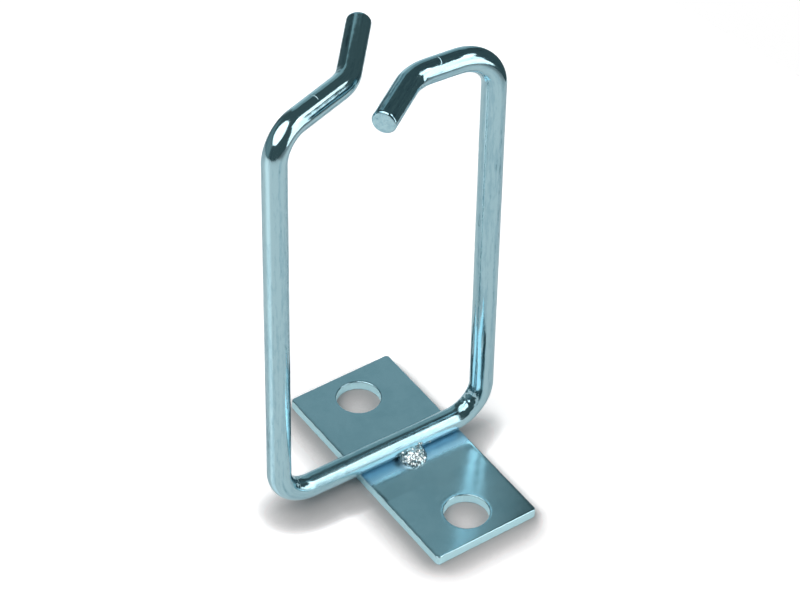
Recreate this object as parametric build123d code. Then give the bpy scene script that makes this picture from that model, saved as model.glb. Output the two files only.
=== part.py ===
"""Cable management ring: a bent wire ring welded across a flat mounting plate.

Millimetres, +Z up. The origin is on the underside of the plate, midway between its
two bolt holes. X runs across the plate, along the width of the ring, and Y along it.
"""
from build123d import *
import math
import os

# Wire ring: clear opening and stock
inner_width = 40.0
inner_height = 80.0
wire_diameter = 4.5
end_chamfer = 0.3

# Wire ring: bend radii, to the centre line of the wire
foot_bend_radius = 6.75
left_shoulder_radius = 5.75
right_shoulder_radius = 7.75
arm_bend_radius = 8.6

# Arms over the opening: corner to corner runs, and angles behind the plane of the ring
left_arm_run = 19.2
left_arm_angle = 18.0
left_tip_run = 16.8
left_tip_angle = 50.0
right_arm_run = 16.3
right_arm_angle = 4.0
right_tip_run = 13.4
right_tip_angle = -35.0

# Mounting plate
plate_width = 22.2
plate_length = 49.2
plate_thickness = 2.0
hole_end_margin = 6.7
hole_diameter = 8.4
corner_radius = 0.7
edge_break = 0.2

# Seat of the ring on the plate
right_leg_overhang = 5.4
ring_setback = 1.5

# Weld in front of the foot
weld_length = 5.6
weld_spread = 2.8
weld_height = 2.1
weld_root_gap = 0.6
weld_offset = -0.4

# Places worked out from the sizes above
wire_radius = wire_diameter / 2
plate_top = plate_thickness
hole_spacing = plate_length - 2 * hole_end_margin
foot_z = plate_top + wire_radius
arm_z = foot_z + inner_height + wire_diameter
right_leg_x = plate_width / 2 + right_leg_overhang
left_leg_x = right_leg_x - inner_width - wire_diameter


def inward(side, angle_back):
    """Level direction from a shoulder towards the middle, turned back by an angle."""
    turn = math.radians(angle_back)
    return Vector(side * math.cos(turn), math.sin(turn), 0)


def make_wire_ring():
    """Round wire bent to a rectangle, open at the top between two cranked arms."""
    left_foot = Vector(left_leg_x, ring_setback, foot_z)
    right_foot = Vector(right_leg_x, ring_setback, foot_z)
    left_shoulder = Vector(left_leg_x, ring_setback, arm_z)
    right_shoulder = Vector(right_leg_x, ring_setback, arm_z)
    left_elbow = left_shoulder + inward(1, left_arm_angle) * left_arm_run
    left_tip = left_elbow + inward(1, left_tip_angle) * left_tip_run
    right_elbow = right_shoulder + inward(-1, right_arm_angle) * right_arm_run
    right_tip = right_elbow + inward(-1, right_tip_angle) * right_tip_run
    path = FilletPolyline(
        left_tip, left_elbow, left_shoulder, left_foot,
        right_foot, right_shoulder, right_elbow, right_tip,
        radius=[
            arm_bend_radius, left_shoulder_radius, foot_bend_radius,
            foot_bend_radius, right_shoulder_radius, arm_bend_radius,
        ],
    )
    section = Plane(origin=path @ 0, z_dir=path % 0) * Circle(wire_radius)
    ring = sweep(section, path=path)
    cut_ends = [face for face in ring.faces() if face.geom_type == GeomType.PLANE]
    rims = [edge for face in cut_ends for edge in face.edges()]
    print("wire length", round(path.length, 2))
    return chamfer(rims, end_chamfer)


def make_mounting_plate():
    """Flat strip with two round bolt holes, corners and edges lightly broken."""
    plate = Box(
        plate_width, plate_length, plate_thickness,
        align=(Align.CENTER, Align.CENTER, Align.MIN),
    )
    plate = fillet(plate.edges().filter_by(Axis.Z), corner_radius)
    faces = plate.faces().sort_by(Axis.Z)
    plate = fillet(faces[-1].edges() + faces[0].edges(), edge_break)
    for end in (-1, 1):
        plate -= Pos(0, end * hole_spacing / 2) * Cylinder(
            hole_diameter / 2, plate_thickness,
            align=(Align.CENTER, Align.CENTER, Align.MIN),
        )
    faces = plate.faces().filter_by(GeomType.PLANE).sort_by(Axis.Z)
    rims = [
        edge for face in (faces[0], faces[-1])
        for edge in face.edges().filter_by(GeomType.CIRCLE)
        if edge.radius > corner_radius
    ]
    return chamfer(rims, edge_break)


def make_weld_bead():
    """Weld lump in the corner between the front of the foot and the plate."""
    lump = scale(Sphere(1), by=(weld_length / 2, weld_spread, weld_height))
    lump = Pos(weld_offset, ring_setback - wire_radius, plate_top) * lump
    corner = Pos(0, ring_setback - weld_root_gap, plate_top) * Box(
        2 * weld_length, wire_diameter + 2 * weld_spread, 2 * weld_height,
        align=(Align.CENTER, Align.MAX, Align.MIN),
    )
    foot = Pos(0, ring_setback, foot_z) * Rot(0, 90, 0) * Cylinder(
        wire_radius, 2 * weld_length
    )
    return (lump & corner) - foot


parts = {
    "wire_ring": make_wire_ring(),
    "mounting_plate": make_mounting_plate(),
    "weld_bead": make_weld_bead(),
}
os.makedirs("parts", exist_ok=True)
for node, shape in parts.items():
    print(node, "volume", round(shape.volume, 2))
    export_step(shape, f"parts/{node}.step")
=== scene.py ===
"""Studio picture of a zinc plated cable management ring on its mounting plate.

Everything is in metres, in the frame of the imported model: the origin is on the
underside of the plate, midway between the bolt holes, X runs along the width of the
ring, Y along the plate and Z up.
"""
from __future__ import annotations

import logging
import math
from dataclasses import dataclass, field
from enum import Enum
from functools import partial, reduce
from typing import Union

import bmesh
import bpy
import numpy as np
from mathutils import Matrix, Vector


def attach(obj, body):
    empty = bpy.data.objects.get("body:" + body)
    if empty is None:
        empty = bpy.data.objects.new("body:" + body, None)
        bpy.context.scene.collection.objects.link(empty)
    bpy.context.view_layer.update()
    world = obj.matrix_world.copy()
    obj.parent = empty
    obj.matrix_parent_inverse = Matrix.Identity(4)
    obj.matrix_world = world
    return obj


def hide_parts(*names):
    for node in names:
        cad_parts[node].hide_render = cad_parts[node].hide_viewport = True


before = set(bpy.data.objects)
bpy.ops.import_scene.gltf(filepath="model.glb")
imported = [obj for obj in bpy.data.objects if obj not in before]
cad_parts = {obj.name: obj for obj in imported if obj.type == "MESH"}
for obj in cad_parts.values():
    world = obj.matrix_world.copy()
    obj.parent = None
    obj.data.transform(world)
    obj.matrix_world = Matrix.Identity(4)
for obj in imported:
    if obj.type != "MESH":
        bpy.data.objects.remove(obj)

MM = 0.001
TINY = 1e-9
WAVE_SPREAD = (0.7, 1.4)
CAMERA_AZIMUTH = -34.618
LOG = logging.getLogger("cable_ring")
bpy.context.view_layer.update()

Socket = bpy.types.NodeSocket
Value = Union[Socket, float, tuple, Vector]
Colour = tuple[float, float, float]
Patch = tuple[np.ndarray, np.ndarray]


class Side(Enum):
    """Which way an arm runs from its shoulder along X."""

    FROM_LEFT = 1
    FROM_RIGHT = -1


class End(Enum):
    """End of the plate, by its side of the middle along Y."""

    FRONT = -1
    REAR = 1


class Blend(Enum):
    """How one colour is laid over another."""

    PLAIN = "MIX"
    TIMES = "MULTIPLY"
    PLUS = "ADD"


class Outline(Enum):
    """Outline of a lamp or card."""

    RECTANGLE = "RECTANGLE"
    ELLIPSE = "ELLIPSE"


def sine_noise(points: np.ndarray, wavelength: float, seed: int, waves: int = 20) -> np.ndarray:
    """Smooth noise: a sum of sine waves of about one length in random directions.

    Args:
        points: Points, one per row.
        wavelength: Length of a wave, in the units of the points.
        seed: Seed of the directions and phases.
        waves: How many waves are added.

    Returns:
        One value per point, with a spread of about one.
    """
    draw = np.random.default_rng(seed)
    ways = draw.normal(size=(waves, points.shape[-1]))
    ways /= np.linalg.norm(ways, axis=1)[:, None]
    phases = draw.uniform(0, 2 * math.pi, waves)
    stretch = draw.uniform(*WAVE_SPREAD, waves)
    total = np.zeros(points.shape[:-1])
    for way, phase, size in zip(ways, phases, stretch):
        total += np.sin(points @ way * (2 * math.pi * size / wavelength) + phase)
    return total * math.sqrt(2 / waves)


def grid_faces(rows: int, columns: int, wrap_columns: bool) -> np.ndarray:
    """Quads between neighbours of a grid whose points are numbered row by row.

    Args:
        rows: Number of rows.
        columns: Number of points in a row.
        wrap_columns: Whether the last point of a row joins its first.

    Returns:
        Four point numbers per quad.
    """
    r = np.arange(rows - 1)
    c = np.arange(columns if wrap_columns else columns - 1)
    r, c = (a.ravel() for a in np.meshgrid(r, c, indexing="ij"))
    after = (c + 1) % columns
    return np.stack([r * columns + c, r * columns + after,
                     (r + 1) * columns + after, (r + 1) * columns + c], axis=1)


def grid_points(*parts: np.ndarray | float) -> np.ndarray:
    """Grid of points from their coordinates, each stretched over the whole grid."""
    return np.stack(np.broadcast_arrays(*parts), axis=-1)


def room_direction(azimuth: float, elevation: float = 0.0) -> Vector:
    """Direction in the room, as the camera sees it.

    Args:
        azimuth: Degrees to the right of the camera's heading.
        elevation: Degrees above level.

    Returns:
        Direction of length one.
    """
    turn = math.radians(CAMERA_AZIMUTH - azimuth)
    rise = math.radians(elevation)
    level = Vector((-math.sin(turn), math.cos(turn), 0))
    return level * math.cos(rise) + Vector((0, 0, math.sin(rise)))


@dataclass
class Surface:
    """Points and faces of one mesh, gathered before they go to Blender."""

    points: list[np.ndarray] = field(default_factory=list)
    faces: list[np.ndarray] = field(default_factory=list)
    count: int = 0

    def add(self, points: np.ndarray, *groups: np.ndarray) -> None:
        """Add a patch.

        Args:
            points: Its points.
            *groups: Its faces, each group with one number of corners, counted from the
                patch's own first point.
        """
        self.points.append(points.reshape(-1, 3))
        self.faces.extend(group + self.count for group in groups)
        self.count += len(self.points[-1])

    def to_object(self, name: str, material: bpy.types.Material,
                  merge: float = 0.0) -> bpy.types.Object:
        """Make the mesh object, merge its doubles and point its faces outwards.

        Args:
            name: Name of the object.
            material: Its material.
            merge: Distance under which points are merged, or 0 to keep them all.

        Returns:
            The new object, at the origin.
        """
        mesh = bpy.data.meshes.new(name)
        points = np.concatenate(self.points)
        faces = [face for group in self.faces for face in group.tolist()]
        mesh.from_pydata(points.tolist(), [], faces)
        work = bmesh.new()
        work.from_mesh(mesh)
        if merge > 0:
            bmesh.ops.remove_doubles(work, verts=work.verts, dist=merge)
        bmesh.ops.recalc_face_normals(work, faces=work.faces)
        work.to_mesh(mesh)
        work.free()
        mesh.polygons.foreach_set("use_smooth", [True] * len(mesh.polygons))
        mesh.materials.append(material)
        thing = bpy.data.objects.new(name, mesh)
        bpy.context.scene.collection.objects.link(thing)
        return thing


class Shader:
    """A small helper that adds and joins the nodes of one material or world."""

    def __init__(self, tree: bpy.types.NodeTree) -> None:
        """Work on one node tree."""
        self.tree = tree
        self.material: bpy.types.Material | None = None

    @classmethod
    def of_material(cls, name: str) -> Shader:
        """Start a new material that holds its output and a Principled shader.

        Args:
            name: Name of the material.

        Returns:
            The helper for its node tree.
        """
        material = bpy.data.materials.new(name)
        material.use_nodes = True
        shader = cls(material.node_tree)
        shader.material = material
        return shader

    def node(self, kind: str, inputs: dict | None = None,
             **settings: str | int) -> bpy.types.Node:
        """Add a node.

        Args:
            kind: Blender's type name of the node.
            inputs: Socket name or number to a value or to another node's socket.
            **settings: Properties of the node itself.

        Returns:
            The new node.
        """
        made = self.tree.nodes.new(kind)
        for key, value in settings.items():
            setattr(made, key, value)
        for key, value in (inputs or {}).items():
            self.join(value, made.inputs[key])
        return made

    def join(self, value: Value, socket: Socket) -> None:
        """Link a socket to another, or set it where the value is a constant.

        Args:
            value: The other node's socket, or the constant.
            socket: The socket that takes it.
        """
        if isinstance(value, bpy.types.NodeSocket):
            self.tree.links.new(value, socket)
        else:
            socket.default_value = value

    def math(self, operation: str, *values: Value) -> Socket:
        """Result of one mathematical node over one to three values."""
        made = self.node("ShaderNodeMath", dict(enumerate(values)), operation=operation)
        return made.outputs[0]

    def product(self, *values: Value) -> Socket:
        """Product of two or more values."""
        return reduce(partial(self.math, "MULTIPLY"), values)

    def away(self, value: Value, middle: Value) -> Socket:
        """How far a value is from a middle, without its sign."""
        return self.math("ABSOLUTE", self.math("SUBTRACT", value, middle))

    def vector(self, operation: str, first: Value, second: Value, output: str) -> Socket:
        """Result of one vector node over two vectors."""
        made = self.node("ShaderNodeVectorMath", {0: first, 1: second}, operation=operation)
        return made.outputs[output]

    def split(self, vector: Socket) -> tuple[Socket, Socket, Socket]:
        """The three parts of a vector."""
        made = self.node("ShaderNodeSeparateXYZ", {0: vector})
        return made.outputs["X"], made.outputs["Y"], made.outputs["Z"]

    def place(self) -> Socket:
        """Object coordinates."""
        return self.node("ShaderNodeTexCoord").outputs["Object"]

    def ramp(self, value: Socket, stops: list[tuple[float, Colour]]) -> Socket:
        """Colour ramp over a value.

        Args:
            value: Socket that the ramp reads.
            stops: Place and colour of each stop.

        Returns:
            The ramp's colour socket.
        """
        made = self.node("ShaderNodeValToRGB", {0: value})
        elements = made.color_ramp.elements
        while len(elements) < len(stops):
            elements.new(0.5)
        for element, (place, colour) in zip(elements, stops):
            element.position = place
            element.color = (*colour, 1.0)
        return made.outputs["Color"]

    def mix(self, share: Value, first: Socket, second: Socket | Colour,
            blend: Blend = Blend.PLAIN) -> Socket:
        """Lay a second colour over a first.

        Args:
            share: How much of the second colour there is, from 0 to 1.
            first: The colour below.
            second: The colour on top, a socket or a plain colour.
            blend: How it is laid over.

        Returns:
            The mixed colour.
        """
        made = self.node("ShaderNodeMix", {"Factor": share}, data_type="RGBA",
                         blend_type=blend.value)
        self.join(first, made.inputs["A"])
        top = second if isinstance(second, bpy.types.NodeSocket) else (*second, 1.0)
        self.join(top, made.inputs["B"])
        return made.outputs["Result"]

    def bump(self, height: Socket, distance: float, before: Socket | None = None) -> Socket:
        """Normal tilted by a height.

        Args:
            height: The height.
            distance: How high one is, in metres.
            before: An earlier normal that this one goes on top of.

        Returns:
            The tilted normal.
        """
        inputs = {"Height": height, "Strength": 1.0, "Distance": distance}
        if before is not None:
            inputs["Normal"] = before
        return self.node("ShaderNodeBump", inputs).outputs["Normal"]

    def fade(self, value: Socket, full: float, gone: float) -> Socket:
        """Smooth step down.

        Args:
            value: Socket that the step reads.
            full: Up to this value the result is one.
            gone: From this value on it is nothing.

        Returns:
            The step.
        """
        made = self.node("ShaderNodeMapRange", {
            "Value": value, "From Min": full, "From Max": gone,
            "To Min": 1.0, "To Max": 0.0}, interpolation_type="SMOOTHSTEP")
        return made.outputs[0]

    def dress(self, values: dict[str, Value]) -> bpy.types.Material:
        """Finish the material.

        Args:
            values: Socket name of the Principled shader to its value or socket.

        Returns:
            The material.
        """
        principled = self.tree.nodes["Principled BSDF"]
        for key, value in values.items():
            self.join(value, principled.inputs[key])
        return self.material


@dataclass(frozen=True)
class Grain:
    """Noise of a finish: how fine it is, and how it is drawn out along the axes."""

    scale: float
    detail: float
    roughness: float = 0.5
    stretch: tuple[float, float, float] = (1.0, 1.0, 1.0)

    def over(self, shader: Shader, vector: Socket) -> Socket:
        """The noise's value over a vector.

        Args:
            shader: Helper of the material.
            vector: The vector. Where the stretch is under one, the noise is drawn out.

        Returns:
            The value, about one half on average.
        """
        stretched = shader.node("ShaderNodeMapping", {"Vector": vector, "Scale": self.stretch})
        return shader.node("ShaderNodeTexNoise", {
            "Vector": stretched.outputs[0], "Scale": self.scale, "Detail": self.detail,
            "Roughness": self.roughness}).outputs["Fac"]


@dataclass(frozen=True)
class WireFinish:
    """Drawn steel wire under bright zinc with a blue passivation."""

    name: str = "zinc_wire"
    light: Colour = (0.43, 0.62, 0.675)
    middle: Colour = (0.34, 0.53, 0.60)
    dark: Colour = (0.20, 0.34, 0.40)
    tones: tuple[float, ...] = (0.405, 0.445, 0.475, 0.55)
    bands: Grain = Grain(700.0, 2.0, 0.5, (1, 1, 0.012))
    streaks: Grain = Grain(1500.0, 4.0, 0.6, (1, 1, 0.05))
    mottle: Grain = Grain(2200.0, 4.0, 0.65, (1, 1, 0.2))
    dents: Grain = Grain(260.0, 2.0)
    band_share: float = 0.32
    streak_share: float = 0.36
    mottle_share: float = 0.32
    dent_depth: float = 0.03 * MM
    streak_depth: float = 0.025 * MM
    mottle_depth: float = 0.012 * MM
    roughness: float = 0.10
    rough_swing: float = 0.10
    foot_middle: float = 137.3 * MM
    foot_near: tuple[float, float] = (13.95 * MM, 19.22 * MM)
    foot_haze: float = 0.12
    marks: tuple[float, ...] = (25.3 * MM, 249.1 * MM)
    mark_width: float = 0.14 * MM
    mark_reach: float = 1.3 * MM
    mark_bow: float = 260.0
    mark_depth: float = 0.05 * MM

    def material(self) -> bpy.types.Material:
        """Streaks along the wire, mottled, over a faint drawn grain, and two tool marks.

        The attribute "drawn" holds the place round the wire and the distance along it.

        Returns:
            The material.
        """
        shader = Shader.of_material(self.name)
        drawn = shader.node("ShaderNodeAttribute", attribute_name="drawn").outputs["Vector"]
        bands = self.bands.over(shader, drawn)
        streaks = self.streaks.over(shader, drawn)
        mottle = self.mottle.over(shader, drawn)
        mixed = shader.math("MULTIPLY", streaks, self.streak_share)
        mixed = shader.math("MULTIPLY_ADD", mottle, self.mottle_share, mixed)
        mixed = shader.math("MULTIPLY_ADD", bands, self.band_share, mixed)
        colours = (self.dark, self.middle, self.middle, self.light)
        colour = shader.ramp(mixed, list(zip(self.tones, colours)))
        along = shader.split(drawn)[2]
        near_foot = shader.fade(shader.away(along, self.foot_middle), *self.foot_near)
        rough = shader.math("MULTIPLY_ADD", mottle, self.rough_swing,
                            self.roughness - self.rough_swing / 2)
        rough = shader.math("MULTIPLY_ADD", near_foot, self.foot_haze, rough)
        normal = shader.bump(self.dents.over(shader, drawn), self.dent_depth)
        normal = shader.bump(streaks, self.streak_depth, normal)
        normal = shader.bump(mottle, self.mottle_depth, normal)
        for mark in self.marks:
            normal = shader.bump(self.crescent(shader, drawn, mark), -self.mark_depth, normal)
        return shader.dress({"Base Color": colour, "Metallic": 1.0, "Roughness": rough,
                             "Normal": normal})

    def crescent(self, shader: Shader, drawn: Socket, mark: float) -> Socket:
        """Height of a bending tool's mark: a short ridge that bows along the wire.

        It is one where the distance along the wire equals the mark's own distance plus
        a bow that grows with the square of the way round, and fades off to both sides.

        Args:
            shader: Helper of the material.
            drawn: The attribute "drawn".
            mark: The mark's distance along the wire.

        Returns:
            The height, from 0 to 1.
        """
        top, side, along = shader.split(drawn)
        bow = shader.product(side, side, self.mark_bow)
        away = shader.away(shader.math("SUBTRACT", along, mark), bow)
        ridge = shader.fade(away, 0.0, self.mark_width)
        reach = shader.fade(shader.math("ABSOLUTE", side), 0.5 * self.mark_reach, self.mark_reach)
        above = shader.math("GREATER_THAN", top, 0.0)
        return shader.product(ridge, reach, above)


@dataclass(frozen=True)
class PlateFinish:
    """Cold-rolled sheet under the same zinc, a little hazier than the wire."""

    name: str = "zinc_plate"
    light: Colour = (0.45, 0.64, 0.71)
    dark: Colour = (0.39, 0.58, 0.65)
    tones: tuple[float, ...] = (0.36, 0.6)
    clouds: Grain = Grain(170.0, 6.0, 0.6)
    lines: Grain = Grain(1400.0, 3.0, 0.6, (1, 0.06, 1))
    satin: Grain = Grain(420.0, 3.0)
    line_depth: float = 0.004 * MM
    satin_depth: float = 0.01 * MM
    roughness: float = 0.18
    rough_swing: float = 0.08
    # Bluer, darker colour in the zone along the foot: partly a heat tint, partly painted shade
    # under and before the foot.
    heat_tint_and_shade: Colour = (0.42, 0.60, 0.72)
    tint_and_shade_front: tuple[float, float] = (-3.2 * MM, -1.6 * MM)
    tint_and_shade_rear: tuple[float, float] = (1.2 * MM, 2.4 * MM)
    tint_and_shade_wander: float = 1.2 * MM
    blued_zone_haze: float = 0.12
    wall: Colour = (0.56, 0.79, 0.84)
    wall_haze: float = 0.25
    wall_low: tuple[float, float] = (0.05 * MM, 0.28 * MM)
    wall_high: tuple[float, float] = (1.72 * MM, 1.95 * MM)
    twist: float = 3.1
    twist_from: float = -8.0 * MM
    dent: float = 13.0
    dent_reach: float = 5.0 * MM

    def material(self) -> bpy.types.Material:
        """Clouds of colour, faint rolling lines along the plate and a fine satin grain.

        The zinc is blued by heat along the front of the foot; that zone's colour is also
        painted shade, darker where the foot overhangs the plate. The zinc is duller and
        paler on the sheared walls.

        Returns:
            The material.
        """
        shader = Shader.of_material(self.name)
        place = shader.place()
        x, y, z = shader.split(place)
        clouds = self.clouds.over(shader, place)
        # Zone along the front of the foot, a wandering band: its colour is a heat tint and also
        # painted shade where the foot overhangs.
        edge = shader.math("MULTIPLY_ADD", clouds, self.tint_and_shade_wander, y)
        before = shader.fade(edge, *self.tint_and_shade_front)
        blued_and_shaded = shader.product(shader.math("SUBTRACT", 1.0, before),
                               shader.fade(edge, *self.tint_and_shade_rear))
        wall = shader.math("SUBTRACT", shader.fade(z, *self.wall_high),
                           shader.fade(z, *self.wall_low))
        colour = shader.ramp(clouds, list(zip(self.tones, (self.dark, self.light))))
        colour = shader.mix(wall, shader.mix(blued_and_shaded, colour, self.heat_tint_and_shade), self.wall)
        rough = shader.math("MULTIPLY_ADD", clouds, self.rough_swing,
                            self.roughness - self.rough_swing / 2)
        rough = shader.math("MULTIPLY_ADD", blued_and_shaded, self.blued_zone_haze, rough)
        rough = shader.math("MULTIPLY_ADD", wall, self.wall_haze, rough)
        normal = shader.bump(self.sag(shader, x, y), 1.0)
        normal = shader.bump(self.satin.over(shader, place), self.satin_depth, normal)
        normal = shader.bump(self.lines.over(shader, place), self.line_depth, normal)
        return shader.dress({"Base Color": colour, "Metallic": 1.0, "Roughness": rough,
                             "Normal": normal})

    def sag(self, shader: Shader, x: Socket, y: Socket) -> Socket:
        """Height of the sheet: a slight twist to the front, a dent at the foot.

        The twist is the product of x and the distance past its start. The dent is the
        square of the distance into its reach, level again under the foot.

        Args:
            shader: Helper of the material.
            x: Place across the plate.
            y: Place along the plate.

        Returns:
            The height in metres.
        """
        past = shader.math("MAXIMUM", shader.math("SUBTRACT", self.twist_from, y), 0.0)
        twisted = shader.product(x, past, -self.twist)
        into = shader.math("MAXIMUM", shader.math("ADD", y, self.dent_reach), 0.0)
        into = shader.math("MINIMUM", into, self.dent_reach)
        return shader.math("ADD", twisted, shader.product(into, into, -self.dent / 2))


@dataclass(frozen=True)
class WeldFinish:
    """Rough weld metal under the same zinc."""

    name: str = "zinc_weld"
    light: Colour = (0.80, 0.87, 0.88)
    dark: Colour = (0.26, 0.38, 0.41)
    tones: tuple[float, ...] = (0.38, 0.5)
    specks: Grain = Grain(2600.0, 3.0, 0.6)
    cell_scale: float = 3200.0
    cell_depth: float = 0.1 * MM
    roughness: float = 0.18

    def material(self) -> bpy.types.Material:
        """Bright facets parted by darker seams.

        Returns:
            The material.
        """
        shader = Shader.of_material(self.name)
        place = shader.place()
        specks = self.specks.over(shader, place)
        colour = shader.ramp(specks, list(zip(self.tones, (self.dark, self.light))))
        cells = shader.node("ShaderNodeTexVoronoi", {"Vector": place, "Scale": self.cell_scale})
        normal = shader.bump(cells.outputs["Distance"], self.cell_depth)
        return shader.dress({"Base Color": colour, "Metallic": 1.0,
                             "Roughness": self.roughness, "Normal": normal})


@dataclass
class CentreLine:
    """Stations along the middle of a wire.

    First and second are the cross directions, along is the distance from the start, and
    inside points to the inside of a bend and is zero on a straight run.
    """

    points: np.ndarray
    tangents: np.ndarray
    first: np.ndarray
    second: np.ndarray
    along: np.ndarray
    inside: np.ndarray


@dataclass
class WireRing:
    """One bent wire: a tall rectangle, open at the top between two cranked arms."""

    wire_radius: float = 2.25 * MM
    inner_width: float = 40.0 * MM
    inner_height: float = 80.0 * MM
    end_chamfer: float = 0.3 * MM
    foot_bend: float = 6.75 * MM
    left_shoulder_bend: float = 5.75 * MM
    right_shoulder_bend: float = 7.75 * MM
    arm_bend: float = 8.6 * MM
    left_arm_run: float = 19.2 * MM
    left_arm_angle: float = 18.0
    left_tip_run: float = 16.8 * MM
    left_tip_angle: float = 50.0
    right_arm_run: float = 16.3 * MM
    right_arm_angle: float = 4.0
    right_tip_run: float = 13.4 * MM
    right_tip_angle: float = -35.0
    right_leg_x: float = 16.5 * MM
    setback: float = 1.5 * MM
    plate_top: float = 2.0 * MM
    around: int = 80
    step: float = 0.33 * MM
    capped_rows: int = 3
    wave_lengths: tuple[float, ...] = (9.0 * MM, 2.6 * MM)
    wave_depths: tuple[float, ...] = (0.004 * MM, 0.002 * MM)
    wrinkle_length: float = 1.5 * MM
    wrinkle_squash: float = 1.6
    wrinkle_depth: float = 0.028 * MM
    wave_seed: int = 3
    wrinkle_seed: int = 5

    def inward(self, side: Side, angle: float) -> np.ndarray:
        """Level direction of an arm, turned back by an angle in degrees."""
        turn = math.radians(angle)
        return np.array([side.value * math.cos(turn), math.sin(turn), 0.0])

    def corners(self) -> tuple[np.ndarray, list[float]]:
        """Corners of the centre line, worked out as in the CAD source.

        Returns:
            The points from tip to tip, and the bend radius at each inner one.
        """
        foot_z = self.plate_top + self.wire_radius
        arm_z = foot_z + self.inner_height + 2 * self.wire_radius
        left_x = self.right_leg_x - self.inner_width - 2 * self.wire_radius
        left_top = np.array([left_x, self.setback, arm_z])
        right_top = np.array([self.right_leg_x, self.setback, arm_z])
        left_elbow = left_top + self.left_arm_run * self.inward(Side.FROM_LEFT, self.left_arm_angle)
        left_tip = left_elbow + self.left_tip_run * self.inward(Side.FROM_LEFT, self.left_tip_angle)
        right_elbow = right_top + self.right_arm_run * self.inward(
            Side.FROM_RIGHT, self.right_arm_angle)
        right_tip = right_elbow + self.right_tip_run * self.inward(
            Side.FROM_RIGHT, self.right_tip_angle)
        points = np.array([left_tip, left_elbow, left_top, [left_x, self.setback, foot_z],
                           [self.right_leg_x, self.setback, foot_z], right_top,
                           right_elbow, right_tip])
        radii = [self.arm_bend, self.left_shoulder_bend, self.foot_bend,
                 self.foot_bend, self.right_shoulder_bend, self.arm_bend]
        return points, radii

    def centre_line(self) -> CentreLine:
        """Straight runs joined by tangent arcs.

        On an arc the cross directions turn about the arc's axis, so they never twist.

        Returns:
            The stations.
        """
        corners, radii = self.corners()
        start = corners[0]
        tangent = corners[1] - corners[0]
        tangent /= np.linalg.norm(tangent)
        normal = np.array([0.0, 0.0, 1.0])
        parts = []
        for corner, after, radius in zip(corners[1:-1], corners[2:], radii):
            ahead = (after - corner) / np.linalg.norm(after - corner)
            turn = math.acos(float(np.clip(tangent @ ahead, -1, 1)))
            cut = radius * math.tan(turn / 2)
            arc_start = corner - tangent * cut
            parts.append(self.straight(start, arc_start, tangent, normal))
            axis = np.cross(tangent, ahead)
            axis /= np.linalg.norm(axis)
            arc, normal = self.arc(arc_start, tangent, normal, axis, radius, turn)
            parts.append(arc)
            start = corner + ahead * cut
            tangent = ahead
        parts.append(self.straight(start, corners[-1], tangent, normal))
        end = (corners[-1:], tangent[None], normal[None], np.zeros((1, 3)))
        points, tangents, normals, inside = (
            np.concatenate([p[i] for p in parts + [end]]) for i in range(4))
        along = np.append(0.0, np.cumsum(np.linalg.norm(np.diff(points, axis=0), axis=1)))
        return CentreLine(points, tangents, normals, np.cross(tangents, normals), along, inside)

    def straight(self, start: np.ndarray, end: np.ndarray, tangent: np.ndarray,
                 normal: np.ndarray) -> tuple[np.ndarray, ...]:
        """Evenly spaced stations of a straight run.

        Args:
            start: First point.
            end: Last point, which isn't among the stations.
            tangent: Direction of the run.
            normal: Cross direction.

        Returns:
            Points, tangents, cross directions, and zeros for the inside of a bend.
        """
        count = max(1, round(np.linalg.norm(end - start) / self.step))
        points = start + np.arange(count)[:, None] / count * (end - start)
        return (points, np.tile(tangent, (count, 1)), np.tile(normal, (count, 1)),
                np.zeros((count, 3)))

    def arc(self, start: np.ndarray, tangent: np.ndarray, normal: np.ndarray, axis: np.ndarray,
            radius: float, turn: float) -> tuple[tuple[np.ndarray, ...], np.ndarray]:
        """Evenly spaced stations of a bend, turned about its axis.

        Args:
            start: First point.
            tangent: Direction there.
            normal: Cross direction there.
            axis: Axis of the bend.
            radius: Radius of the bend.
            turn: Its angle in radians.

        Returns:
            Points, tangents, cross directions and directions to the inside, without
            those of the last point, and the cross direction at the last point.
        """
        count = max(3, round(radius * turn / self.step))
        angles = np.append(np.arange(count) / count * turn, turn)
        cosine, sine = np.cos(angles)[:, None], np.sin(angles)[:, None]
        spoke = np.cross(axis, tangent)
        centre = start + spoke * radius
        points = centre - radius * (spoke * cosine - tangent * sine)
        tangents = tangent * cosine + spoke * sine
        normals = (normal * cosine + np.cross(axis, normal) * sine
                   + axis * (axis @ normal) * (1 - cosine))
        share = np.sin(angles / turn * math.pi)[:, None]
        inside = (centre - points) / radius * share
        return (points[:-1], tangents[:-1], normals[:-1], inside[:-1]), normals[-1]

    def radii(self, angle: np.ndarray, line: CentreLine, spokes: np.ndarray) -> np.ndarray:
        """Plain radius, plus long shallow waves, plus wrinkles on the inside of the bends.

        Args:
            angle: Angles round the wire.
            line: The stations.
            spokes: Directions from each station to its ring of points.

        Returns:
            Radius at each point of the grid.
        """
        place = grid_points(np.cos(angle) * self.wire_radius, np.sin(angle) * self.wire_radius,
                            line.along[:, None])
        radius = np.full(place.shape[:2], self.wire_radius)
        for extra, (length, depth) in enumerate(zip(self.wave_lengths, self.wave_depths)):
            radius += depth * sine_noise(place, length, self.wave_seed + extra)
        inner = np.clip(np.einsum("rad,rd->ra", spokes, line.inside), 0, 1) ** 2
        wrinkles = sine_noise(place * [1, 1, self.wrinkle_squash], self.wrinkle_length,
                              self.wrinkle_seed)
        return radius + self.wrinkle_depth * inner * wrinkles

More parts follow.
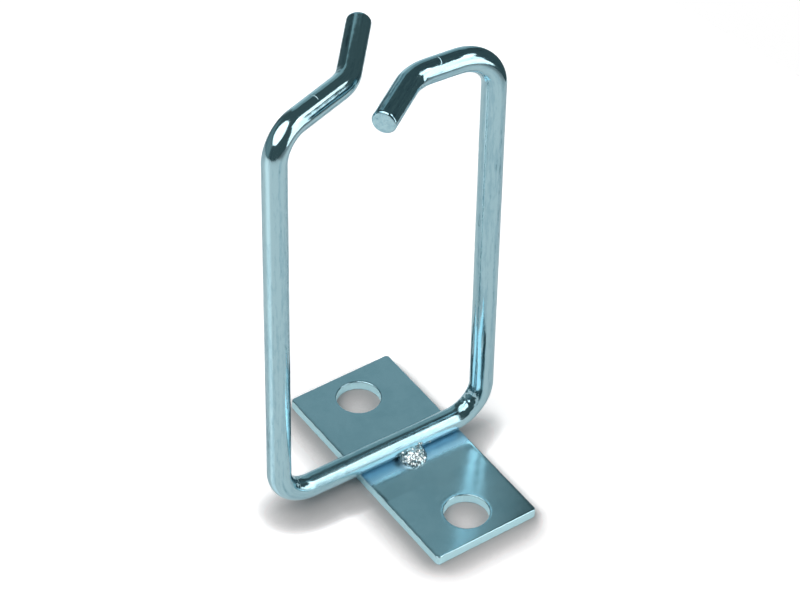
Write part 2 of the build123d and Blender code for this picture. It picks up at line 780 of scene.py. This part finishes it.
    def build(self) -> bpy.types.Object:
        """Circle carried along the centre line, closed by flat ends with a broken edge.

        Returns:
            The dressed wire.
        """
        line = self.centre_line()
        angle = np.arange(self.around) / self.around * 2 * math.pi
        spokes = (line.first[:, None] * np.cos(angle)[None, :, None]
                  + line.second[:, None] * np.sin(angle)[None, :, None])
        tube = line.points[:, None] + spokes * self.radii(angle, line, spokes)[:, :, None]
        caps = [self.cap(line.points[end], line.tangents[end] * way, spokes[end])
                for end, way in ((0, -1.0), (-1, 1.0))]
        plain = slice(self.capped_rows, -self.capped_rows)
        rings = np.concatenate([caps[0][::-1], tube[plain], caps[1]])
        first_end = np.arange(self.around)[None, ::-1]
        last_end = (np.arange(self.around) + (len(rings) - 1) * self.around)[None]
        surface = Surface()
        surface.add(rings, grid_faces(len(rings), self.around, True), first_end, last_end)
        ring = surface.to_object("wire_ring_body", WireFinish().material())
        self.mark_places(ring, angle, line.along, plain)
        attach(ring, "root")
        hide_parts("wire_ring")
        return ring

    def mark_places(self, ring: bpy.types.Object, angle: np.ndarray, along: np.ndarray,
                    plain: slice) -> None:
        """Write the attribute "drawn": place round the wire, and distance along it.

        Args:
            ring: The wire.
            angle: Angles round the wire.
            along: Distance of each station.
            plain: The stations between the caps.
        """
        profile = self.cap_profile()[:, 0]
        rows = len(profile)
        station = np.concatenate([np.full(rows, along[0]), along[plain],
                                  np.full(rows, along[-1])])
        share = np.concatenate([profile[::-1], np.ones(len(along[plain])), profile])
        radius = share[:, None] * self.wire_radius
        drawn = grid_points(radius * np.cos(angle), radius * np.sin(angle), station[:, None])
        layer = ring.data.attributes.new("drawn", "FLOAT_VECTOR", "POINT")
        layer.data.foreach_set("vector", drawn.astype(np.float32).ravel())

    def cap_profile(self) -> np.ndarray:
        """Share of the radius, and height in chamfers, from the side to the end's middle."""
        return np.array([
            (1.0, -2.2), (1.0, -1.0), (0.98, -0.72), (0.95, -0.4), (0.91, -0.12),
            (0.87, -0.01), (0.84, 0.0), (0.7, 0.0), (0.5, 0.0), (0.3, 0.0), (0.12, 0.0)])

    def cap(self, centre: np.ndarray, out: np.ndarray, spokes: np.ndarray) -> np.ndarray:
        """Rings of points from the wire's side over the broken edge to the flat end.

        Args:
            centre: Middle of the end face.
            out: Direction that the end faces.
            spokes: Directions from the centre line to the side.

        Returns:
            Grid of points, a ring per row of the profile.
        """
        share, lift = self.cap_profile().T[..., None, None]
        return centre + spokes * share * self.wire_radius + out * lift * self.end_chamfer


@dataclass
class MountingPlate:
    """Flat strip sheared from sheet, with two punched bolt holes."""

    width: float = 22.2 * MM
    length: float = 49.2 * MM
    thickness: float = 2.0 * MM
    hole_radius: float = 4.2 * MM
    hole_spacing: float = 35.8 * MM
    corner: float = 0.7 * MM
    edge: float = 0.2 * MM
    shear: float = 0.018
    shear_from: float = 20.0 * MM
    shear_over: float = 4.0 * MM
    taper: float = 0.004
    taper_over: float = 12.0 * MM
    ragged: float = 0.05 * MM
    wall_back: float = 0.6
    tears: tuple[tuple[float, float], ...] = ((0.9 * MM, 1.0), (0.35 * MM, 0.6))
    tear_rise: tuple[float, float] = (0.5, 0.62)
    tear_depths: tuple[float, ...] = (0.5, 0.5, 0.125, 0.06)
    tear_squash: float = 0.25
    nick_length: float = 2.2 * MM
    nick_depth: float = 0.8
    punch_length: float = 0.8 * MM
    punch_depth: float = 0.25
    punch_squash: float = 0.3
    merge: float = 0.002 * MM
    per_side: int = 110
    per_corner: int = 7
    per_middle: int = 90
    face_rows: int = 14
    edge_rows: tuple[int, int] = (6, 7)
    hole_rows: tuple[int, int] = (5, 5)
    tear_seed: int = 31
    punch_seed: int = 41

    def outline(self) -> Patch:
        """Rounded rectangle, anticlockwise from the middle of its right side.

        Returns:
            Points in the plane and their outward directions.
        """
        inner = np.array([self.width / 2, self.length / 2]) - self.corner
        signs = ((1, 1), (-1, 1), (-1, -1), (1, -1))
        points, ways = [], []
        turns = np.linspace(0, math.pi / 2, self.per_corner)
        for quarter, sign in enumerate(signs):
            spin = turns + quarter * math.pi / 2
            way = np.stack([np.cos(spin), np.sin(spin)], axis=1)
            points.append(inner * sign + self.corner * way)
            ways.append(way)
            begin = points[-1][-1]
            finish = inner * signs[(quarter + 1) % 4] + self.corner * way[-1]
            count = self.per_side if quarter % 2 else self.per_side // 2
            share = np.arange(1, count)[:, None] / count
            points.append(begin + share * (finish - begin))
            ways.append(np.tile(way[-1], (count - 1, 1)))
        points, ways = np.concatenate(points), np.concatenate(ways)
        start = int(np.argmax((points[:, 0] > 0) & (np.abs(points[:, 1]) < TINY)))
        return np.roll(points, -start, axis=0), np.roll(ways, -start, axis=0)

    def skewed(self, points: np.ndarray) -> np.ndarray:
        """Points moved as the shears left the blank: ends askew, rear a trifle wider.

        The width grows with the hyperbolic tangent of y, and past a distance from the
        middle y grows in proportion to x.

        Args:
            points: Points in the plane.

        Returns:
            The moved points.
        """
        x, y = points[..., 0], points[..., 1]
        moved = points.copy()
        moved[..., 0] = x * (1 + self.taper * np.tanh(y / self.taper_over))
        near_end = np.clip((np.abs(y) - self.shear_from) / self.shear_over, 0, 1)
        moved[..., 1] = y + self.shear * x * near_end
        return moved

    def build(self) -> bpy.types.Object:
        """Band round the outline, walls of the holes, and the two faces between them.

        Returns:
            The dressed plate.
        """
        points, ways = self.outline()
        surface = Surface()
        surface.add(*self.band(points, ways))
        inset = points - ways * self.edge
        halves = {End.FRONT: inset[inset[:, 1] < TINY], End.REAR: inset[inset[:, 1] > -TINY]}
        for end, border in halves.items():
            for height in (self.thickness, 0.0):
                face, faces, angles = self.half_face(border, end, height)
                surface.add(face, faces)
            surface.add(*self.hole_wall(angles, end))
        plate = surface.to_object("mounting_plate_body", PlateFinish().material(), self.merge)
        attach(plate, "root")
        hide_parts("mounting_plate")
        return plate

    def profile(self, roll: int, wall: int) -> Patch:
        """Section of an edge: a quarter round, a straight wall, a quarter round.

        Args:
            roll: Points on each quarter round.
            wall: Points on the wall between them.

        Returns:
            Distance out of the inset face, below zero on the rounds, and height.
        """
        e, t = self.edge, self.thickness
        turns = np.linspace(0, math.pi / 2, roll)
        out = np.concatenate([-e + e * np.sin(turns), np.zeros(wall), -e + e * np.cos(turns)])
        up = np.concatenate([t - e + e * np.cos(turns), np.linspace(t - e, e, wall + 2)[1:-1],
                             e - e * np.sin(turns)])
        return out, up

    def band(self, points: np.ndarray, ways: np.ndarray) -> Patch:
        """Side of the plate: a profile carried round the outline.

        From the top face the profile rolls over the edge, goes down the clean upper
        wall, steps out where the metal tore, and breaks back at the lower face. Noise
        that is long down the wall and short round the outline roughens it.

        Args:
            points: Outline of the plate.
            ways: Its outward directions.

        Returns:
            Points and faces.
        """
        e, t = self.edge, self.thickness
        out, up = self.profile(*self.edge_rows)
        round_place = np.cumsum(np.linalg.norm(points - np.roll(points, 1, axis=0), axis=1))
        place = grid_points(round_place, up[:, None] * self.tear_squash)
        rough = sum(share * sine_noise(place, length, self.tear_seed + extra)
                    for extra, (length, share) in enumerate(self.tears))
        low, high = (share * t for share in self.tear_rise)
        tear = np.interp(up, [e, low, high, t - e], self.tear_depths)
        fade = np.clip(out / e + 1, 0, 1)[:, None]
        push = out[:, None] + fade * self.ragged * (rough * tear[:, None] - self.wall_back)
        nicks = sine_noise(place[:1] * [1, 0], self.nick_length, self.tear_seed + 2)
        nicks = self.nick_depth * np.clip(nicks, 0, 2)
        drop = self.ragged * nicks * fade * (up[:, None] > t / 2)
        flat = self.skewed(points[None] + ways[None] * (push - drop)[..., None])
        grid = grid_points(flat[..., 0], flat[..., 1], up[:, None])
        return grid, grid_faces(len(up), len(points), True)

    def half_face(self, border: np.ndarray, end: End,
                  height: float) -> tuple[np.ndarray, np.ndarray, np.ndarray]:
        """One half of a flat face: straight lines from the hole's rim to the border.

        The border runs along the outline and comes back along the middle line.

        Args:
            border: Points of this half of the outline.
            end: Which half it is.
            height: Height of the face.

        Returns:
            Points, faces, and the angle of each rim point round the hole.
        """
        order = np.argsort(np.arctan2(np.abs(border[:, 1]), border[:, 0] * end.value))
        border = border[order]
        across = np.linspace(border[-1, 0], border[0, 0], self.per_middle)[1:-1]
        middle = np.stack([across, np.zeros_like(across)], axis=1)
        border = self.skewed(np.concatenate([border, middle]))
        centre = np.array([0.0, end.value * self.hole_spacing / 2])
        away = border - centre
        rim = centre + away / np.linalg.norm(away, axis=1)[:, None] * (self.hole_radius + self.edge)
        share = np.linspace(0, 1, self.face_rows)[:, None, None]
        flat = rim + share * (border - rim)
        grid = grid_points(flat[..., 0], flat[..., 1], height)
        return grid, grid_faces(len(grid), len(border), True), np.arctan2(away[:, 1], away[:, 0])

    def hole_wall(self, angle: np.ndarray, end: End) -> Patch:
        """Punched hole: a profile with rolled rims carried round, slightly rough inside.

        Args:
            angle: Angles round the hole, those of the faces' rim points.
            end: Which end's hole it is.

        Returns:
            Points and faces.
        """
        r = self.hole_radius
        out, up = self.profile(*self.hole_rows)
        spread = grid_points(np.cos(angle) * r, np.sin(angle) * r, up[:, None] * self.punch_squash)
        fade = np.clip(out / self.edge + 1, 0, 1)[:, None]
        rough = sine_noise(spread, self.punch_length, self.punch_seed + end.value)
        wall = r - out[:, None] + fade * self.ragged * self.punch_depth * rough
        y = wall * np.sin(angle) + end.value * self.hole_spacing / 2
        grid = grid_points(wall * np.cos(angle), y, up[:, None])
        return grid, grid_faces(len(up), len(angle), True)


@dataclass
class WeldBead:
    """Weld in the corner between the front of the foot and the plate, with spatter."""

    middle: tuple[float, ...] = (-0.4 * MM, -0.75 * MM, 2.0 * MM)
    half_size: tuple[float, ...] = (2.8 * MM, 2.8 * MM, 2.1 * MM)
    proud: float = 1.02
    cell: float = 0.14 * MM
    cell_width: float = 0.45 * MM
    facets: int = 200
    facet_depth: float = 1.4
    wave_length: float = 1.6 * MM
    wave_depth: float = 0.25
    smooth_below: float = -0.05
    rough_over: float = 0.4
    least_rough: float = 0.1
    lowest: float = 1.3 * MM
    grid: tuple[int, int] = (60, 120)
    seed: int = 51
    drops: int = 16
    drop_along: tuple[float, float] = (-2.6, 4.2)
    drop_turn: tuple[float, float] = (-62.0, 8.0)
    drop_size: tuple[float, float] = (0.12, 0.3)
    drop_stretch: tuple[float, ...] = (1.4, 1.0, 1.0)
    drop_grid: tuple[int, int] = (7, 12)
    drop_seed: int = 7
    drop_grain_seed: int = 60
    foot_axis: tuple[float, float] = (1.5 * MM, 4.25 * MM)
    drop_reach: float = 2.2 * MM

    def lump(self, centre: np.ndarray, size: np.ndarray, grid: tuple[int, int],
             seed: int) -> tuple[np.ndarray, ...]:
        """Closed ellipsoid pushed in and out by facets and waves.

        Each point sinks by its distance to the nearest of a set of seeds strewn over
        the ellipsoid, which leaves bumps parted by sharp seams.

        Args:
            centre: Middle of the ellipsoid.
            size: Its three half axes.
            grid: Rows of points between the poles, and points in a row.
            seed: Seed of the facets and waves.

        Returns:
            Points, quads, and the triangles at the top and the bottom.
        """
        rows, columns = grid
        north = np.linspace(0, math.pi, rows + 2)[1:-1, None]
        east = np.arange(columns)[None] / columns * 2 * math.pi
        ball = grid_points(np.sin(north) * np.cos(east), np.sin(north) * np.sin(east),
                           np.cos(north))
        poles = np.array([[0, 0, 1.0], [0, 0, -1.0]])
        every = np.concatenate([poles[:1], ball.reshape(-1, 3), poles[1:]])
        seeds = np.random.default_rng(seed).normal(size=(self.facets, 3))
        seeds /= np.linalg.norm(seeds, axis=1)[:, None]
        away = np.linalg.norm((every[:, None] - seeds[None]) * size, axis=-1).min(axis=1)
        waves = sine_noise(every * size, self.wave_length, seed + 1)
        rough = np.clip((every[:, 2] - self.smooth_below) / self.rough_over, self.least_rough, 1)
        sunk = rough * (self.wave_depth * waves - self.facet_depth * away / self.cell_width)
        points = centre + every * size * (1 + self.cell * sunk / size.mean())[:, None]
        points[:, 2] = np.maximum(points[:, 2], self.lowest)
        last = 1 + (rows - 1) * columns
        ring = np.arange(columns)
        after = (ring + 1) % columns
        top = np.stack([np.zeros(columns, int), 1 + ring, 1 + after], axis=1)
        bottom = np.stack([np.full(columns, len(points) - 1), last + after, last + ring], axis=1)
        return points, grid_faces(rows, columns, True) + 1, top, bottom

    def build(self) -> bpy.types.Object:
        """The bead, then droplets of spatter beside it along the wire.

        Returns:
            The dressed weld.
        """
        surface = Surface()
        size = np.array(self.half_size) * self.proud
        surface.add(*self.lump(np.array(self.middle), size, self.grid, self.seed))
        draw = np.random.default_rng(self.drop_seed)
        y, z = self.foot_axis
        for number in range(self.drops):
            along = draw.uniform(*self.drop_along) * MM
            turn = math.radians(draw.uniform(*self.drop_turn))
            spot = np.array([along, y - self.drop_reach * math.cos(turn),
                             z + self.drop_reach * math.sin(turn)])
            size = draw.uniform(*self.drop_size) * MM * np.array(self.drop_stretch)
            surface.add(*self.lump(spot, size, self.drop_grid,
                                    self.drop_grain_seed + number))
        bead = surface.to_object("weld_bead_body", WeldFinish().material())
        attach(bead, "root")
        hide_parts("weld_bead")
        return bead


@dataclass
class StudioCamera:
    """Camera at the photograph's angle, with its small roll."""

    elevation: float = 42.083
    roll: float = 1.099
    target: tuple[float, ...] = (0.0, 0.0, 40.0 * MM)
    shift_right: float = -2.693 * MM
    shift_up: float = 0.233 * MM
    distance: float = 564.18 * MM
    focal_pixels: float = 3175.8
    image_width: int = 800
    sensor: float = 36.0
    nearest: float = 0.01
    farthest: float = 20.0

    def build(self) -> bpy.types.Object:
        """Set the camera up and make it the scene's.

        Returns:
            The camera.
        """
        e, a, r = (math.radians(x) for x in (self.elevation, CAMERA_AZIMUTH, self.roll))
        back = Vector((math.sin(a) * math.cos(e), -math.cos(a) * math.cos(e), math.sin(e)))
        level = Vector((math.cos(a), math.sin(a), 0))
        rise = back.cross(level)
        right = level * math.cos(r) + rise * math.sin(r)
        up = rise * math.cos(r) - level * math.sin(r)
        place = Vector(self.target) + right * self.shift_right + up * self.shift_up
        place += back * self.distance
        data = bpy.data.cameras.new("camera")
        data.sensor_width = self.sensor
        data.lens = self.focal_pixels * self.sensor / self.image_width
        data.clip_start = self.nearest
        data.clip_end = self.farthest
        camera = bpy.data.objects.new("camera", data)
        turn = Matrix((right, up, back)).transposed().to_4x4()
        camera.matrix_world = Matrix.Translation(place) @ turn
        bpy.context.scene.collection.objects.link(camera)
        bpy.context.scene.camera = camera
        return camera


@dataclass(frozen=True)
class TableFinish:
    """White table top, with its shadow near the part and its looks in reflections."""

    name: str = "table_white"
    lift: Colour = (1.62, 1.52, 1.51)
    shadow_reach: float = 6.8 * MM
    shadow_lean: float = 55.0
    shadow_samples: int = 16
    shadow_tones: tuple[tuple[float, float], ...] = (
        (0.52, 0.28), (0.78, 0.37), (0.89, 0.56), (0.95, 0.78), (0.995, 1.0))
    plain: float = 0.93
    plain_right: float = 0.38
    right_from: float = 0.10
    right_to: float = 0.18
    wedge_from: tuple[float, ...] = (-28.0 * MM, 1.5 * MM, 0.0)
    wedge_angle: float = 60.0
    wedge_half: tuple[float, float] = (4.0, 34.0)
    wedge_light: float = 0.40

    def material(self) -> bpy.types.Material:
        """To the camera lit up to plain white, with a shadow where the part is close.

        To everything else the table is a plain pale grey, darker at its right.

        Returns:
            The material.
        """
        shader = Shader.of_material(self.name)
        path = shader.node("ShaderNodeLightPath")
        colour = shader.mix(path.outputs["Is Camera Ray"], self.in_reflections(shader),
                            self.to_camera(shader))
        return shader.dress({
            "Base Color": colour, "Roughness": 1.0, "Specular IOR Level": 0.0,
            "Emission Color": (1, 1, 1, 1),
            "Emission Strength": self.sheen(shader, path.outputs["Is Glossy Ray"])})

    def to_camera(self, shader: Shader) -> Socket:
        """Table's colour to the camera: the share of open room near a point, as greys.

        The room is looked at over a half sphere that leans away from the camera, so that
        the shadow falls a little towards it.

        Args:
            shader: Helper of the material.

        Returns:
            The colour.
        """
        lean = shader.node("ShaderNodeCombineXYZ", dict(enumerate(
            room_direction(0, self.shadow_lean)))).outputs[0]
        near = shader.node("ShaderNodeAmbientOcclusion", {
            "Distance": self.shadow_reach, "Normal": lean}, samples=self.shadow_samples)
        greys = [(share, (grey, grey, grey)) for share, grey in self.shadow_tones]
        seen = shader.ramp(near.outputs["AO"], greys)
        return shader.mix(1.0, seen, self.lift, Blend.TIMES)

    def in_reflections(self, shader: Shader) -> Socket:
        """Table's colour to all but the camera: a grey that falls off to the right.

        Args:
            shader: Helper of the material.

        Returns:
            The colour.
        """
        rightward = shader.vector("DOT_PRODUCT", shader.place(), room_direction(90), "Value")
        left = shader.fade(rightward, self.right_from, self.right_to)
        return shader.ramp(left, [(0.0, (self.plain_right,) * 3), (1.0, (self.plain,) * 3)])

    def sheen(self, shader: Shader, mirrored: Socket) -> Socket:
        """Extra light that only reflections see, in a wedge of the table left of the ring.

        The wedge spreads from the left leg, about its own angle from the camera's side.

        Args:
            shader: Helper of the material.
            mirrored: One for a reflection's ray, else nothing.

        Returns:
            The light.
        """
        from_leg = shader.vector("SUBTRACT", shader.place(), self.wedge_from, "Vector")
        parts = [shader.vector("DOT_PRODUCT", from_leg, room_direction(azimuth), "Value")
                 for azimuth in (-90, 180)]
        swing = shader.away(shader.math("ARCTAN2", *parts), math.radians(self.wedge_angle))
        wedge = shader.fade(swing, *(math.radians(edge) for edge in self.wedge_half))
        return shader.product(wedge, self.wedge_light, mirrored)


@dataclass
class Table:
    """Table top under the plate, its far right corner cut off."""

    corners: tuple[tuple[float, float], ...] = (
        (-0.60, -0.55), (0.30, -0.55), (0.30, -0.10), (0.02, 0.18), (-0.60, 0.18))

    def build(self) -> bpy.types.Object:
        """One flat face, its corners given to the right and ahead of the origin.

        Returns:
            The table.
        """
        right, ahead = room_direction(90), room_direction(0)
        points = [tuple(right * x + ahead * y) for x, y in self.corners]
        mesh = bpy.data.meshes.new("table")
        mesh.from_pydata(points, [], [range(len(points))])
        mesh.materials.append(TableFinish().material())
        table = bpy.data.objects.new("table", mesh)
        bpy.context.scene.collection.objects.link(table)
        return table


@dataclass(frozen=True)
class Panel:
    """Softbox or card on a level heading from the origin.

    It faces the height of its aim on the Z axis, or its own height, and may then be
    moved aside, towards the left of its heading.
    """

    name: str
    azimuth: float
    distance: float
    height: float
    size: tuple[float, float]
    radiance: float
    tint: Colour = (1, 1, 1)
    aside: float = 0.0
    aim: float | None = None
    outline: Outline = Outline.RECTANGLE

    def build(self) -> bpy.types.Object:
        """Area light that the camera doesn't see.

        Returns:
            The light.
        """
        area = self.size[0] * self.size[1]
        if self.outline is Outline.ELLIPSE:
            area *= math.pi / 4
        data = bpy.data.lights.new(self.name, "AREA")
        data.shape = self.outline.value
        data.size, data.size_y = self.size
        data.energy = self.radiance * math.pi * area
        data.color = self.tint
        light = bpy.data.objects.new(self.name, data)
        level = room_direction(self.azimuth) * self.distance
        up = Vector((0, 0, self.height))
        facing = Vector((0, 0, self.height if self.aim is None else self.aim)) - level - up
        light.location = level + up + room_direction(self.azimuth - 90) * self.aside
        light.rotation_mode = "QUATERNION"
        light.rotation_quaternion = facing.to_track_quat("-Z", "Y")
        light.visible_camera = False
        bpy.context.scene.collection.objects.link(light)
        return light


@dataclass(frozen=True)
class Glow:
    """Bright patch of the room, between two azimuths and two elevations in degrees."""

    azimuth: tuple[float, float]
    elevation: tuple[float, float]
    colour: Colour
    soft: float

    def over(self, shader: Shader, way: Socket, rise: Socket) -> Socket:
        """Product of four smooth steps, two over the azimuth and two over the elevation.

        The azimuth is turned so that the patch's middle is at zero.

        Args:
            shader: Helper of the world.
            way: Direction that the room is seen in.
            rise: Its elevation in degrees.

        Returns:
            One inside the patch, nothing outside.
        """
        heading = room_direction(sum(self.azimuth) / 2)
        half = (self.azimuth[1] - self.azimuth[0]) / 2
        turned = shader.node("ShaderNodeVectorRotate", {
            "Vector": way, "Angle": -math.atan2(heading.y, heading.x)}, rotation_type="Z_AXIS")
        ahead, aside, _ = shader.split(turned.outputs[0])
        swing = shader.math("MULTIPLY", shader.math("ARCTAN2", aside, ahead), 180 / math.pi)
        within, below, low = (
            shader.fade(value, edge - self.soft, edge + self.soft)
            for value, edge in ((shader.math("ABSOLUTE", swing), half),
                                (rise, self.elevation[1]), (rise, self.elevation[0])))
        return shader.product(within, below, shader.math("SUBTRACT", 1.0, low))


@dataclass
class Room:
    """White for the camera; for everything else dim, with soft bright patches."""

    colour: Colour = (0.07, 0.105, 0.11)
    glows: tuple[Glow, ...] = (
        Glow((-125, -38), (-12, 25), (0.15, 0.20, 0.21), 8.0),
        Glow((-24, 3), (-20, 9), (0.40, 0.42, 0.42), 8.0),
    )

    def build(self) -> bpy.types.World:
        """The plain colour, plus each patch's colour where the patch is.

        Returns:
            The world.
        """
        world = bpy.data.worlds.new("room")
        world.use_nodes = True
        bpy.context.scene.world = world
        shader = Shader(world.node_tree)
        shader.tree.nodes.clear()
        way = shader.node("ShaderNodeTexCoord").outputs["Generated"]
        height = shader.split(way)[2]
        rise = shader.math("MULTIPLY", shader.math("ARCSINE", height), 180 / math.pi)
        colour = shader.node("ShaderNodeRGB").outputs[0]
        colour.default_value = (*self.colour, 1)
        for glow in self.glows:
            colour = shader.mix(glow.over(shader, way, rise), colour, glow.colour, Blend.PLUS)
        room = shader.node("ShaderNodeBackground", {"Color": colour}).outputs[0]
        white = shader.node("ShaderNodeBackground", {"Color": (1, 1, 1, 1)}).outputs[0]
        path = shader.node("ShaderNodeLightPath")
        mixed = shader.node("ShaderNodeMixShader", {
            0: path.outputs["Is Camera Ray"], 1: room, 2: white}).outputs[0]
        shader.node("ShaderNodeOutputWorld", {0: mixed})
        return world


@dataclass
class Studio:
    """Camera, table, softboxes and room."""

    panels: tuple[Panel, ...] = (
        Panel("left_box", -128, 0.272, 0.51, (0.74, 0.60), 2.4, aim=0.06,
              outline=Outline.ELLIPSE),
        Panel("right_box", 105, 0.337, 0.25, (0.220, 0.50), 2.1, aside=-0.020),
        Panel("right_wing", 105, 0.342, 0.43, (0.26, 0.24), 2.1, aside=0.115,
              outline=Outline.ELLIPSE),
        Panel("back_card", -4, 0.165, 0.0995, (0.120, 0.197), 0.37, (0.64, 0.88, 0.94)),
    )

    def build(self) -> None:
        """Set the whole studio up."""
        for thing in (StudioCamera(), Table(), *self.panels, Room()):
            thing.build()
        bpy.context.scene.view_settings.view_transform = "Standard"


def main() -> None:
    """Build every piece, then the studio."""
    logging.basicConfig(level=logging.INFO)
    for piece in (WireRing(), MountingPlate(), WeldBead()):
        thing = piece.build()
        LOG.info("%s: %d faces", thing.name, len(thing.data.polygons))
    Studio().build()


if __name__ == "__main__":
    main()
